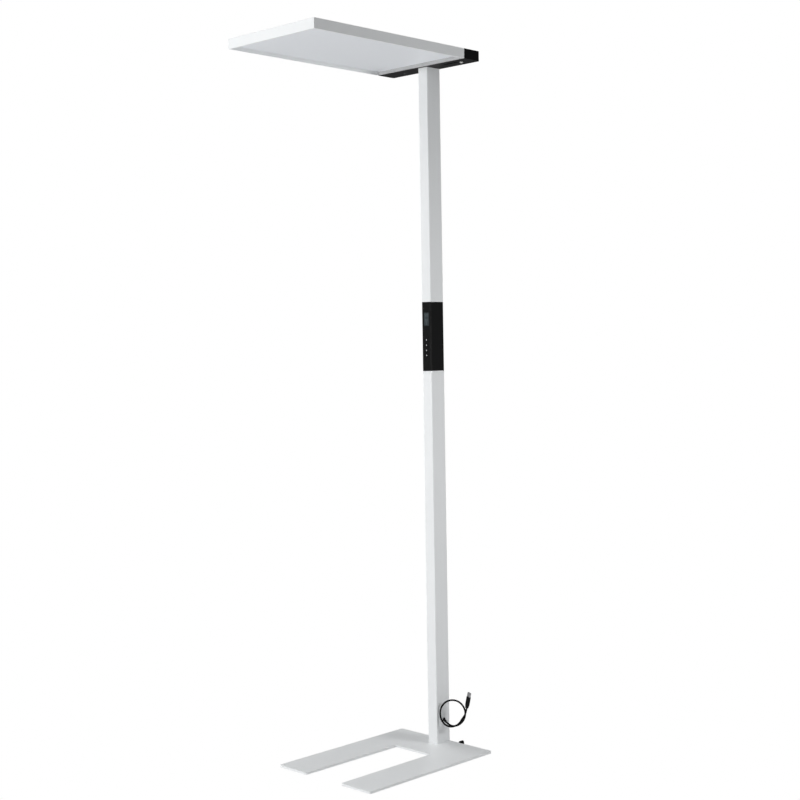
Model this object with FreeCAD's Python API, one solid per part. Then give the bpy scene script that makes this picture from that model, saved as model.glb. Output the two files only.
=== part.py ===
import FreeCAD, Part
import math
import os

from FreeCAD import Vector

# Free-standing office floor lamp: fork-shaped steel base plate, rectangular extruded pole in two
# lengths with a control unit between them, and a flat light head carried at its rear short end.
# Millimetres. +X right, +Y to the rear, +Z up. The prongs, the head and the display face -Y.
# The origin is on the floor, in the middle of the lamp's plan.

# ---------------------------------------------------------------- driving dimensions
overall_height = 1950.0

# light head
head_length = 620.0
head_width = 335.0
head_height = 27.5
cap_depth = 64.0            # black housing across the rear end of the head

# head rail section: "in" is measured from the outer face, "up" from the underside
rail_web = 1.8
rail_rim = 5.0              # width of the rim seen from below
rail_floor = 1.6
rail_inner_wall = 1.4
rail_shelf = 1.2            # thickness of the shelves
rail_reach = 8.0            # how far the shelves stand in from the outer face
diffuser_recess = 9.2       # underside of the head up to the lower diffuser
plate_rib_up = 16.0         # top of the rib that carries the light plate
plate_rib_reach = 6.0
panel_shelf_up = 25.0       # top of the shelf that carries the top panel
rail_edge = 1.0             # rounding of the rail's outer edges
corner_key_leg = 42.0
key_width = 5.6
rail_key_length = 62.0
rail_key_in_cap = 22.0

# panes, light plate and light strips
pane_gap = 0.2              # clearance of panes and plates inside the rails
diffuser_thickness = 3.0
light_plate_thickness = 1.5
strip_width = 12.0
strip_thickness = 1.0
lower_strip_length = 500.0
lower_strip_pitch = 80.0
lower_strip_count = 4
upper_strip_length = 400.0
upper_strip_pitch = 110.0
upper_strip_count = 2
panel_thickness = 1.5
panel_window_width = 236.0
panel_window_length = 420.0
panel_window_corner = 10.0
upper_pane_lap = 8.0        # how far the upper pane laps under the panel
panel_window_shift = 12.0   # window's centre ahead of the panel's centre
vent_count = 12
vent_length = 22.0
vent_width = 3.0
vent_pitch = 12.0
vent_inset = 20.0           # row of vents from the rear edge of the panel

# cap at the rear of the head
cap_wall = 2.0
cap_corner = 5.0
cap_cover_thickness = 2.0
cap_fit = 0.3               # cover inside the cap's walls
pole_notch_gap = 0.2        # cap round the pole's top end
beam_depth = 10.5
beam_wall = 2.0
beam_end_gap = 1.0
bracket_width = 56.0
bracket_thickness = 4.0
wire_slot = 7.0             # width of the openings for the looms in the bracket and the unit's plates
beam_screw_offset = 22.0
beam_screw_radius = 2.0
beam_screw_head = 7.0       # across the flats
beam_screw_head_height = 2.2
motion_window_length = 52.0
motion_window_width = 11.0
motion_window_inset = 72.5  # from the head's right side to the window's middle
motion_window_y = -12.0     # from the pole's axis
motion_window_corner = 2.0
motion_window_recess = 1.2
motion_window_lip = 1.2
window_lap = 1.0
motion_lens_inset = 41.0    # from the head's right side
motion_lens_y = -3.0
motion_lens_radius = 4.5
motion_lens_height = 3.0
motion_lens_tip = 2.0       # radius of the lens's flat end
motion_lens_cone = 2.4      # height of its conical part
sensor_flange_lap = 1.0
light_sensor_inset = 72.5   # from the head's left side
light_sensor_y = -2.0
light_sensor_radius = 2.6
light_sensor_proud = 0.6
sensor_flange_height = 1.2
sensor_board_length = 84.0
sensor_board_width = 30.0
sensor_board_thickness = 1.6
sensor_board_inset = 67.5   # from the head's right side to the board's middle
sensor_board_y = -2.5       # from the pole's axis
sensor_post_height = 5.0
sensor_post_size = 4.0
driver_length = 104.0
driver_width = 20.0
driver_height = 19.0
driver_inset = 23.5         # from the head's left side to the driver's case
driver_rear_gap = 1.5
driver_bend = 1.5           # folded edges of the driver's case
cap_post_size = 6.4         # posts that the cover is screwed to
cap_post_inset = 9.5        # their axes from the cap's inner faces

# pole
pole_width = 34.0
pole_depth = 54.0
pole_corner = 2.5
pole_wall = 2.0
port_inset_x = 6.7          # screw port axis from the pole's side face
port_inset_y = 7.0          # screw port axis from the pole's front or rear face
port_outer = 4.2
port_bore = 2.5
port_mouth = 1.6
port_web = 5.0

# screws that run in the ports; every screw's shank has six sides
port_screw_gap = 0.1
port_screw_head = 8.0       # across the flats of its hexagon head
port_screw_head_height = 2.4
port_screw_length = 18.0
screw_hole_gap = 0.25
screw_head_gap = 0.3

# base plate
base_length = 475.0
base_width = 348.0
base_thickness = 6.0
prong_width = 107.0
fork_depth = 341.0
base_corner = 6.0
fork_corner = 5.0
pad_radius = 12.0
pad_thickness = 2.0
pad_front_inset = 32.0
pad_rear_inset = 34.0
wiring_hole_radius = 7.0
channel_width = 9.0
channel_depth = 3.8
channel_cover_width = 15.0
channel_cover_thickness = 1.0
channel_cover_gap = 0.15

# mains gland at the rear edge of the base
gland_x = 55.0
gland_projection = 12.0
gland_width = 10.0
gland_height = 13.0         # top of the gland above the floor
gland_foot = 2.6            # underside of the gland above the floor
gland_corner = 1.0          # lower corners; the top is a half round
gland_bore_radius = 3.7
gland_bore_depth = 9.0
gland_tongue_length = 10.0
gland_tongue_gap = 0.2
gland_wire_radius = 1.8

# control unit
unit_bottom = 1063.0
unit_length = 195.5
flange_thickness = 3.0
spine_width = 28.0
spine_depth = 26.0
spine_wall = 2.5
upper_plate_gap = 0.2
upper_plate_corner = 1.0
housing_wall = 2.0
housing_rib = 1.5
panel_depth = 2.5
panel_gap = 0.05
board_thickness = 1.6
board_margin_low = 17.0
board_margin_high = 18.0
board_side_gap = 0.5
post_size = 4.0             # square posts that press the board onto the housing's ribs
post_inset_x = 6.0
post_inset_z = 6.0
connector_width = 12.0
connector_height = 12.0
connector_depth = 3.8
chip_size = 10.0
chip_height = 1.2
display_width = 18.0
display_height = 37.0
display_drop = 30.2         # top of the display below the top of the unit
display_gap = 0.1
display_flush = 0.1
display_lap = 1.5
display_flange = 1.0
module_margin = 1.5
key_count = 4
key_drop = 107.5            # first key's axis below the top of the unit
key_pitch = 14.7
key_radius = 2.5
key_gap = 0.08
key_proud = 0.7
key_flange = 7.6            # side of its square flange
key_flange_height = 0.8
key_rest_gap = 0.05
key_stem = 2.6              # side of the square stem
key_in_switch = 0.4
switch_size = 6.2
switch_height = 2.6
switch_well_depth = 1.6
switch_well_gap = 0.08
board_gap = 5.5             # panel's back face to the board's front face

# wiring
loom_radius = 1.7
loom_sides = 8
loom_bend = 4.0
mains_loom_y = 6.0          # from the pole's axis, inside the spine
control_loom_y = -15.2
usb_loom_x = 6.0
control_loom_lap = 5.0      # length of its end that lies on the sensor board

# short lead with a plug, on the pole's right side near the foot
lead_height = 73.5
lead_y = 2.5                # from the pole's axis
lead_radius = 2.5
lead_facets = 7             # sides of the lead's section, which has the round lead's area
boot_collar_radius = 4.9
boot_collar_thickness = 1.4
boot_radius = 4.3
boot_tip_radius = 3.3
boot_length = 9.5
boot_droop = 35.0           # degrees
grommet_radius = 3.5
grommet_gap = 0.1
grommet_depth = 3.0         # behind the pole's wall
ring_centre_x = 51.7
ring_centre_y = 0.9         # from the pole's axis
ring_centre_z = 96.6
ring_half_width = 34.5
ring_half_height = 36.7
ring_heading = 35.0         # degrees from +X towards +Y
# the loop's turn: angle in degrees, reach as a share of the half width and height, shift to the front
ring_turn = [(-90, 1.03, -6.5), (0, 1.04, -4.8), (90, 0.985, -3.2), (180, 1.01, 0.4), (245, 1.07, 3.2),
             (290, 0.94, 4.6), (335, 0.865, 5.6)]
plug_foot_reach = 41.4      # of the plug's foot from the loop's centre, along the loop
plug_foot_rise = 17.3
plug_foot_shift = 6.2
plug_lean = 11.0            # degrees from upright, in the loop's plane
lead_straight = 9.0         # last stretch of the lead before its plug
lead_gap_step = 1.5         # spacing of the points between which its gap to itself is measured
plug_body_length = 32.0
plug_body_width = 13.6
plug_body_thickness = 8.0
plug_body_corner = 3.0
plug_neck_width = 6.6
plug_neck_thickness = 6.0
plug_shoulder = 17.0        # from the plug's foot to its full section
plug_face_turn = 45.0       # degrees, wide side of the plug against the ring's plane
plug_shell_length = 12.0
plug_shell_width = 12.0
plug_shell_thickness = 4.5
plug_shell_wall = 0.35
plug_shell_corner = 0.6
plug_tongue_thickness = 1.8
plug_tongue_gap = 0.1
plug_tongue_set_back = 1.0

# ---------------------------------------------------------------- levels and lines
plan_depth = head_length + gland_projection
rear_face = plan_depth / 2 - gland_projection      # flush rear of head, pole and base
head_front = rear_face - head_length
cap_front = rear_face - cap_depth
pole_y = rear_face - pole_depth / 2
base_front = rear_face - base_length

base_bottom = pad_thickness
base_top = base_bottom + base_thickness
flange_bottom = unit_bottom - flange_thickness
unit_top = unit_bottom + unit_length
head_bottom = overall_height - head_height
cover_top = head_bottom + cap_cover_thickness
bracket_top = cover_top + bracket_thickness
motion_window_x = head_width / 2 - motion_window_inset
motion_lens_x = head_width / 2 - motion_lens_inset
light_sensor_x = light_sensor_inset - head_width / 2
sensor_board_x = head_width / 2 - sensor_board_inset
driver_start_x = driver_inset - head_width / 2
driver_end_x = driver_start_x + driver_length

rail_key_bottom = head_bottom + plate_rib_up + light_plate_thickness + pane_gap / 2
rail_key_top = head_bottom + panel_shelf_up - rail_shelf - pane_gap / 2
key_bar_height = rail_key_top - rail_key_bottom

port_x = pole_width / 2 - port_inset_x
port_y = pole_depth / 2 - port_inset_y
port_screw_radius = port_bore - port_screw_gap

panel_back = pole_y - pole_depth / 2 + panel_depth
board_front = panel_back + board_gap
board_back = board_front + board_thickness
board_bottom = unit_bottom + board_margin_low
board_top = unit_top - board_margin_high
key_levels = [unit_top - key_drop - key_pitch * place for place in range(key_count)]


# ---------------------------------------------------------------- shape helpers
def block(x_from, x_to, y_from, y_to, z_from, z_to):
    """Box between two corners."""
    return Part.makeBox(x_to - x_from, y_to - y_from, z_to - z_from, Vector(x_from, y_from, z_from))


def rod(centre, direction, radius, length):
    """Cylinder that starts at centre and runs along direction."""
    return Part.makeCylinder(radius, length, centre, direction)


def outline(corners, radii, place):
    """Closed wire through flat corners, each rounded by its radius; place turns (a, b) into a point."""
    starts, middles, ends = [], [], []
    for index, corner in enumerate(corners):
        here = Vector(corner[0], corner[1], 0)
        before = Vector(*corners[index - 1], 0) - here
        after = Vector(*corners[(index + 1) % len(corners)], 0) - here
        before.normalize()
        after.normalize()
        radius = radii[index]
        half = before.getAngle(after) / 2
        bisector = (before + after).normalize()
        centre = here + bisector * (radius / math.sin(half))
        starts.append(here + before * (radius / math.tan(half)))
        middles.append(centre - bisector * radius)
        ends.append(here + after * (radius / math.tan(half)))
    edges = []
    for index, radius in enumerate(radii):
        following = (index + 1) % len(corners)
        if radius > 0:
            arc = Part.Arc(place(starts[index]), place(middles[index]), place(ends[index]))
            edges.append(arc.toShape())
        if (starts[following] - ends[index]).Length > 1e-6:
            edges.append(Part.LineSegment(place(ends[index]), place(starts[following])).toShape())
    return Part.Wire(Part.__sortEdges__(edges))


def level(height):
    """Placing function for outlines that lie flat at a height."""
    return lambda flat: Vector(flat.x, flat.y, height)


def rectangle(x_mid, y_mid, width, depth, radius, height):
    """Rounded rectangle, flat at a height."""
    half_w, half_d = width / 2, depth / 2
    corners = [(x_mid - half_w, y_mid - half_d), (x_mid + half_w, y_mid - half_d),
               (x_mid + half_w, y_mid + half_d), (x_mid - half_w, y_mid + half_d)]
    return outline(corners, [radius] * 4, level(height))


def upright(wire, height):
    """Prism that stands on a flat wire."""
    return Part.Face(wire).extrude(Vector(0, 0, height))


def joined(pieces):
    """One solid from pieces that meet."""
    whole = pieces[0].fuse(pieces[1:]) if len(pieces) > 1 else pieces[0]
    return whole.removeSplitter()


def group(pieces):
    """Separate solids that share one node."""
    return Part.makeCompound(pieces)


def turned(profile, base, direction):
    """Revolved solid: profile is (radius, distance) pairs along direction from base."""
    points = [Vector(radius, 0, along) for radius, along in profile]
    solid = Part.Face(Part.makePolygon(points + points[:1])).revolve(Vector(), Vector(0, 0, 1), 360)
    solid.Placement = FreeCAD.Placement(base, FreeCAD.Rotation(Vector(0, 0, 1), direction))
    return solid


def ring_of(sides, centre, normal, circle):
    """Closed wire of a regular polygon whose corners lie on a circle."""
    spots = Part.Circle(centre, normal, circle).toShape().discretize(sides + 1)
    return Part.makePolygon(spots[:-1] + spots[:1])


def screw(seat, direction, radius, length, across_flats, head_height):
    """Hexagon-head screw: the head's underside lies on seat and the shank runs along direction."""
    shank = Part.Face(ring_of(6, seat, direction, radius)).extrude(direction * length)
    corner_circle = across_flats / math.sqrt(3)
    head = Part.Face(ring_of(6, seat, direction, corner_circle)).extrude(direction * -head_height)
    return joined([shank, head])


def port_places():
    """Plan positions of the pole's four screw ports."""
    return [(side_x * port_x, pole_y + side_y * port_y) for side_x in (-1, 1) for side_y in (-1, 1)]


def port_screw_hole(x, y, bottom, thickness):
    """Clearance hole for a port screw's shank."""
    return rod(Vector(x, y, bottom), Vector(0, 0, 1), port_screw_radius + screw_hole_gap, thickness)


def foot_screw_sink(x, y):
    """Counterbore that takes a port screw's head above the base plate's underside."""
    wide = port_screw_head / math.sqrt(3) + screw_head_gap
    return rod(Vector(x, y, base_bottom), Vector(0, 0, 1), wide, port_screw_head_height + screw_head_gap)


def loom(points):
    """Bundle of wires: an eight-sided rod along a line of points, whose bends have two mitres each."""
    spots = [points[0]]
    for before, corner, after in zip(points, points[1:], points[2:]):
        spots.append(corner + (before - corner).normalize() * loom_bend)
        spots.append(corner + (after - corner).normalize() * loom_bend)
    spots.append(points[-1])
    ring = ring_of(loom_sides, spots[0], spots[1] - spots[0], loom_radius)
    mitred_corners = 1
    return Part.makePolygon(spots).makePipeShell([ring], True, False, mitred_corners)


# ---------------------------------------------------------------- base
def fork_corners():
    """Plan outline of the base plate: a crossbar with two prongs."""
    half = base_width / 2
    inner = half - prong_width
    fork_end = base_front + fork_depth
    corners = [(-half, base_front), (-inner, base_front), (-inner, fork_end), (inner, fork_end),
               (inner, base_front), (half, base_front), (half, rear_face), (-half, rear_face)]
    radii = [base_corner, base_corner, fork_corner, fork_corner,
             base_corner, base_corner, base_corner, base_corner]
    return corners, radii


def pad_places():
    """Centres of the rubber pads: prong tips, prong roots and rear corners."""
    side = base_width / 2 - prong_width / 2
    rows = [base_front + pad_front_inset, base_front + fork_depth, rear_face - pad_rear_inset]
    return [(sign * side, row) for sign in (-1, 1) for row in rows]


def channel_shape(width, bottom, height):
    """Wiring channel's plan, from the pole's wiring hole to the gland, as an L-shaped prism."""
    half = width / 2
    y = pole_y + mains_loom_y
    corners = [(-half, y - half), (gland_x + half, y - half), (gland_x + half, rear_face),
               (gland_x - half, rear_face), (gland_x - half, y + half), (-half, y + half)]
    return upright(outline(corners, [0.0] * 6, level(bottom)), height)


def make_base_plate():
    corners, radii = fork_corners()
    plate = upright(outline(corners, radii, level(base_bottom)), base_thickness)
    cuts = [port_screw_hole(x, y, base_bottom, base_thickness) for x, y in port_places()]
    cuts += [foot_screw_sink(x, y) for x, y in port_places()]
    cuts.append(rod(Vector(0, pole_y + mains_loom_y, base_bottom), Vector(0, 0, 1), wiring_hole_radius,
                    base_thickness))
    cuts.append(channel_shape(channel_cover_width, base_bottom, channel_cover_thickness))
    cuts.append(channel_shape(channel_width, base_bottom, channel_cover_thickness + channel_depth))
    return plate.cut(cuts)


def make_base_pads():
    return group([rod(Vector(x, y, 0), Vector(0, 0, 1), pad_radius, pad_thickness)
                  for x, y in pad_places()])


def make_channel_cover():
    width = channel_cover_width - 2 * channel_cover_gap
    cover = channel_shape(width, base_bottom, channel_cover_thickness)
    return cover.cut(block(gland_x - width, gland_x + width, rear_face - channel_cover_gap,
                           rear_face + channel_cover_gap, 0, base_top))


def make_mains_gland():
    half = gland_width / 2
    arch_centre = gland_height - half
    back_edge = rear_face + gland_projection
    corners = [(gland_x - half, gland_foot), (gland_x + half, gland_foot),
               (gland_x + half, gland_height), (gland_x - half, gland_height)]
    arch = outline(corners, [gland_corner, gland_corner, half, half],
                   lambda flat: Vector(flat.x, rear_face, flat.y))
    body = Part.Face(arch).extrude(Vector(0, gland_projection, 0))
    tongue_half = channel_width / 2 - gland_tongue_gap
    tongue_bottom = base_bottom + channel_cover_thickness + gland_tongue_gap
    tongue_top = base_bottom + channel_cover_thickness + channel_depth - gland_tongue_gap
    tongue = block(gland_x - tongue_half, gland_x + tongue_half, rear_face - gland_tongue_length,
                   rear_face, tongue_bottom, tongue_top)
    bore = rod(Vector(gland_x, back_edge, arch_centre), Vector(0, -1, 0),
               gland_bore_radius, gland_bore_depth)
    wire_hole = rod(Vector(gland_x, rear_face - gland_tongue_length, wire_level()), Vector(0, 1, 0),
                    gland_wire_radius, gland_tongue_length + gland_projection - gland_bore_depth)
    return joined([body, tongue]).cut([bore, wire_hole])


def wire_level():
    """Height of the wires in the base's channel."""
    return base_bottom + channel_cover_thickness + channel_depth / 2


# ---------------------------------------------------------------- pole
def pole_section(bottom):
    """Extruded section: rounded tube with four open screw ports webbed to its side walls."""
    outer = Part.Face(rectangle(0, pole_y, pole_width, pole_depth, pole_corner, bottom))
    inner = Part.Face(rectangle(0, pole_y, pole_width - 2 * pole_wall, pole_depth - 2 * pole_wall,
                                pole_corner - pole_wall / 2, bottom))
    rings, bores = [], []
    for x, y in port_places():
        side = math.copysign(1, x)
        centre = Vector(x, y, bottom)
        rings.append(Part.Face(Part.Wire([Part.Circle(centre, Vector(0, 0, 1), port_outer).toShape()])))
        web_end = side * (pole_width / 2 - pole_wall / 2)
        web = rectangle((x + web_end) / 2, y, abs(web_end - x), port_web, 0, bottom)
        rings.append(Part.Face(web))
        bores.append(Part.Face(Part.Wire([Part.Circle(centre, Vector(0, 0, 1), port_bore).toShape()])))
        mouth_end = x - side * (port_outer + port_mouth)
        mouth = rectangle((x + mouth_end) / 2, y, abs(mouth_end - x), port_mouth, 0, bottom)
        bores.append(Part.Face(mouth))
    section = outer.cut(inner).fuse(rings).cut(bores)
    return section.removeSplitter()


def pole_length(bottom, top):
    section = pole_section(bottom)
    return section.Faces[0].extrude(Vector(0, 0, top - bottom))


def make_lower_pole():
    pole = pole_length(base_top, flange_bottom)
    hole = rod(Vector(pole_width / 2 - 2 * pole_wall, pole_y + lead_y, lead_height), Vector(1, 0, 0),
               grommet_radius + grommet_gap, 3 * pole_wall)
    return pole.cut(hole)


def make_upper_pole():
    return pole_length(unit_top, cover_top)


# ---------------------------------------------------------------- control unit
def make_unit_chassis():
    """Bright flange on the lower pole, a channel-shaped spine, and a plate under the upper pole."""
    flange = upright(rectangle(0, pole_y, pole_width, pole_depth, pole_corner, flange_bottom),
                     flange_thickness)
    plate_width = pole_width - 2 * (housing_wall + upper_plate_gap)
    plate_depth = pole_depth - 2 * (housing_wall + upper_plate_gap)
    plate_bottom = unit_top - flange_thickness
    plate = upright(rectangle(0, pole_y, plate_width, plate_depth, upper_plate_corner, plate_bottom),
                    flange_thickness)
    plate = plate.cut(block(-pole_width, pole_width, pole_y - pole_depth, panel_back + upper_plate_gap,
                            plate_bottom, unit_top))
    half_w, half_d = spine_width / 2, spine_depth / 2
    channel = [(-half_w, pole_y - half_d), (-half_w + spine_wall, pole_y - half_d),
               (-half_w + spine_wall, pole_y + half_d - spine_wall),
               (half_w - spine_wall, pole_y + half_d - spine_wall),
               (half_w - spine_wall, pole_y - half_d), (half_w, pole_y - half_d),
               (half_w, pole_y + half_d), (-half_w, pole_y + half_d)]
    spine = upright(outline(channel, [0.0] * 8, level(unit_bottom)), unit_length - flange_thickness)
    cuts = [port_screw_hole(x, y, bottom, flange_thickness)
            for bottom in (flange_bottom, plate_bottom) for x, y in port_places()]
    front = pole_y + control_loom_y - wire_slot / 2
    rear = pole_y + mains_loom_y + wire_slot / 2
    cuts.append(block(-wire_slot / 2, wire_slot / 2, front, rear, plate_bottom, unit_top))
    cuts.append(block(-wire_slot / 2, usb_loom_x + wire_slot / 2, pole_y + lead_y - wire_slot / 2, rear,
                      flange_bottom, unit_bottom))
    return joined([flange, plate, spine]).cut(cuts)


def make_port_screws():
    """All the screws in the pole's ports: at the foot, at both ends of the unit and at the head."""
    foot_seat = base_bottom + port_screw_head_height + screw_head_gap
    rows = [(foot_seat, 1), (unit_bottom, -1), (unit_top - flange_thickness, 1), (bracket_top, -1)]
    return group([screw(Vector(x, y, seat), Vector(0, 0, direction), port_screw_radius,
                        port_screw_length, port_screw_head, port_screw_head_height)
                  for seat, direction in rows for x, y in port_places()])


def make_control_housing():
    outer = upright(rectangle(0, pole_y, pole_width, pole_depth, pole_corner, unit_bottom), unit_length)
    inner = upright(rectangle(0, pole_y, pole_width - 2 * housing_wall, pole_depth - 2 * housing_wall,
                              pole_corner - housing_wall, unit_bottom), unit_length)
    open_front = block(-pole_width, pole_width, pole_y - pole_depth, panel_back + panel_gap,
                       unit_bottom, unit_top)
    inner_x = pole_width / 2 - housing_wall
    ribs = [block(min(side * inner_x, side * (inner_x - housing_rib)),
                  max(side * inner_x, side * (inner_x - housing_rib)),
                  board_back, board_back + housing_rib, board_bottom, board_top) for side in (-1, 1)]
    sleeve = outer.cut([inner, open_front])
    return joined([sleeve] + ribs)


def display_bottom():
    return unit_top - display_drop - display_height


def post_places():
    x = pole_width / 2 - post_inset_x
    return [(side * x, height) for side in (-1, 1)
            for height in (board_bottom + post_inset_z, board_top - post_inset_z)]


def make_control_panel():
    bar = upright(rectangle(0, pole_y, pole_width, pole_depth, pole_corner, unit_bottom), unit_length)
    panel = bar.common(block(-pole_width, pole_width, pole_y - pole_depth, panel_back,
                             unit_bottom, unit_top))
    half_post = post_size / 2
    posts = [block(x - half_post, x + half_post, panel_back, board_front, z - half_post, z + half_post)
             for x, z in post_places()]
    half = display_width / 2
    cuts = [block(-half, half, pole_y - pole_depth, panel_back, display_bottom(),
                  display_bottom() + display_height)]
    cuts += [rod(Vector(0, panel_back, z), Vector(0, -1, 0), key_radius + key_gap, panel_depth)
             for z in key_levels]
    return joined([panel] + posts).cut(cuts)


def make_display_window():
    front = panel_back - panel_depth + display_flush
    half = display_width / 2 - display_gap
    low = display_bottom() + display_gap
    high = display_bottom() + display_height - display_gap
    pane = block(-half, half, front, panel_back, low, high)
    flange = block(-half - display_lap, half + display_lap, panel_back, panel_back + display_flange,
                   low - display_lap, high + display_lap)
    return joined([pane, flange])


def make_display_module():
    half = display_width / 2 + display_lap + module_margin
    low = display_bottom() - display_lap - module_margin
    high = display_bottom() + display_height + display_lap + module_margin
    return block(-half, half, panel_back + display_flange, board_front, low, high)


def make_control_board():
    half = pole_width / 2 - housing_wall - board_side_gap
    board = block(-half, half, board_front, board_back, board_bottom, board_top)
    half_plug = connector_width / 2
    usb_plug = block(usb_loom_x - half_plug, usb_loom_x + half_plug, board_back,
                     board_back + connector_depth, usb_entry() - connector_height / 2,
                     usb_entry() + connector_height / 2)
    loom_plug = block(-half_plug, half_plug, board_back, board_back + connector_depth,
                      loom_entry() - connector_height, loom_entry())
    chip = block(-chip_size / 2, chip_size / 2, board_back, board_back + chip_height,
                 key_levels[0] - chip_size, key_levels[0])
    return joined([board, usb_plug, loom_plug, chip])


def usb_entry():
    """Height at which the short lead's inner end meets the board."""
    return board_bottom + connector_height + 2 * post_inset_z


def loom_entry():
    """Height at which the control loom leaves the board."""
    return board_top - 2 * post_inset_z


def switch_front():
    return board_front - switch_height


def make_key_switches():
    half = switch_size / 2
    well = key_stem / 2 + switch_well_gap
    switches = []
    for height in key_levels:
        body = block(-half, half, switch_front(), board_front, height - half, height + half)
        hollow = block(-well, well, switch_front(), switch_front() + switch_well_depth,
                       height - well, height + well)
        switches.append(body.cut(hollow))
    return group(switches)


def make_key(height):
    """Round key: cap in the panel, square flange behind it and a square stem into its switch."""
    face = panel_back - panel_depth - key_proud
    flange_front = panel_back + key_rest_gap
    flange_back = flange_front + key_flange_height
    cap = rod(Vector(0, face, height), Vector(0, 1, 0), key_radius, flange_front - face)
    half = key_flange / 2
    flange = block(-half, half, flange_front, flange_back, height - half, height + half)
    half = key_stem / 2
    stem = block(-half, half, flange_back, switch_front() + key_in_switch, height - half, height + half)
    return joined([cap, flange, stem])


# ---------------------------------------------------------------- head frame
def rail_face(place):
    """Rail section: outer web, rim box below, and shelves for the panes, plate and panel."""
    in_wall = rail_rim - rail_inner_wall
    corners = [(0, 0), (rail_rim, 0), (rail_rim, diffuser_recess - rail_shelf),
               (rail_reach, diffuser_recess - rail_shelf), (rail_reach, diffuser_recess),
               (rail_web, diffuser_recess), (rail_web, plate_rib_up - rail_shelf),
               (plate_rib_reach, plate_rib_up - rail_shelf), (plate_rib_reach, plate_rib_up),
               (rail_web, plate_rib_up), (rail_web, panel_shelf_up - rail_shelf),
               (rail_reach, panel_shelf_up - rail_shelf), (rail_reach, panel_shelf_up),
               (rail_web, panel_shelf_up), (rail_web, head_height), (0, head_height)]
    radii = [0.0] * len(corners)
    radii[0] = rail_edge
    radii[-1] = rail_edge
    outer = Part.Face(outline(corners, radii, place))
    chamber = [(rail_web, rail_floor), (in_wall, rail_floor),
               (in_wall, diffuser_recess - rail_shelf), (rail_web, diffuser_recess - rail_shelf)]
    return outer.cut(Part.Face(outline(chamber, [0.0] * 4, place))).Faces[0]


def mitre_wedge(side, keep_front):
    """Prism that trims a rail along the 45 degree mitre at one front corner."""
    edge = side * head_width / 2
    reach = side * rail_reach * 2
    start = (edge + reach, head_front - rail_reach * 2)
    end = (edge - reach, head_front + rail_reach * 2)
    third = (start[0], end[1]) if keep_front else (end[0], start[1])
    points = [Vector(x, y, head_bottom) for x, y in (start, end, third, start)]
    return Part.Face(Part.makePolygon(points)).extrude(Vector(0, 0, head_height))


def make_side_rail(side):
    edge = side * head_width / 2
    section = rail_face(lambda flat: Vector(edge - side * flat.x, head_front, head_bottom + flat.y))
    bar = section.extrude(Vector(0, cap_front - head_front, 0))
    return bar.cut(mitre_wedge(side, False))


def make_front_rail():
    half = head_width / 2
    section = rail_face(lambda flat: Vector(-half, head_front + flat.x, head_bottom + flat.y))
    bar = section.extrude(Vector(head_width, 0, 0))
    return bar.cut([mitre_wedge(-1, True), mitre_wedge(1, True)])


def make_rear_rim():
    """Rim on the cap's front wall: it closes the diffuser's recess at the rear."""
    front = cap_front - rail_rim
    shelf, top = head_bottom + diffuser_recess - rail_shelf, head_bottom + diffuser_recess
    between_rims, between_shelves = head_width / 2 - rail_rim, head_width / 2 - rail_reach
    corners = [(-between_rims, head_bottom), (between_rims, head_bottom), (between_rims, shelf),
               (between_shelves, shelf), (between_shelves, top), (-between_shelves, top),
               (-between_shelves, shelf), (-between_rims, shelf)]
    face = Part.Face(outline(corners, [0.0] * 8, lambda spot: Vector(spot.x, front, spot.y)))
    return face.extrude(Vector(0, rail_rim, 0))


def make_corner_keys():
    keys = []
    inner = rail_web + pane_gap
    for side in (-1, 1):
        edge = side * (head_width / 2 - inner)
        front = head_front + inner
        along = edge - side * corner_key_leg
        thin = edge - side * key_width
        corners = [(edge, front), (along, front), (along, front + key_width), (thin, front + key_width),
                   (thin, front + corner_key_leg), (edge, front + corner_key_leg)]
        keys.append(upright(outline(corners, [0.0] * 6, level(rail_key_bottom)), key_bar_height))
    return group(keys)


def rail_key_x(side):
    """Inner and outer faces of the straight key in a side rail."""
    outer = side * (head_width / 2 - rail_web - pane_gap)
    return sorted((outer, outer - side * key_width))


def make_rail_keys():
    keys = []
    for side in (-1, 1):
        low, high = rail_key_x(side)
        keys.append(block(low, high, cap_front + rail_key_in_cap - rail_key_length,
                          cap_front + rail_key_in_cap, rail_key_bottom, rail_key_top))
    return group(keys)


# ---------------------------------------------------------------- panes and light engine
def pane_block(bottom, thickness, inset):
    """Flat plate inside the rails and ahead of the cap."""
    half = head_width / 2 - inset
    return block(-half, half, head_front + inset, cap_front - pane_gap, bottom, bottom + thickness)


def make_lower_diffuser():
    return pane_block(head_bottom + diffuser_recess, diffuser_thickness, rail_web + pane_gap)


def make_light_plate():
    return pane_block(head_bottom + plate_rib_up, light_plate_thickness, rail_web + pane_gap)


def strip_places(count, pitch):
    return [pitch * (place - (count - 1) / 2) for place in range(count)]


def strips(count, pitch, length, bottom):
    middle = (head_front + cap_front) / 2
    return group([block(x - strip_width / 2, x + strip_width / 2, middle - length / 2,
                        middle + length / 2, bottom, bottom + strip_thickness)
                  for x in strip_places(count, pitch)])


def make_lower_strips():
    bottom = head_bottom + plate_rib_up - strip_thickness
    return strips(lower_strip_count, lower_strip_pitch, lower_strip_length, bottom)


def make_upper_strips():
    bottom = head_bottom + plate_rib_up + light_plate_thickness
    return strips(upper_strip_count, upper_strip_pitch, upper_strip_length, bottom)


def panel_window_y():
    return (head_front + cap_front) / 2 - panel_window_shift


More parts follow.
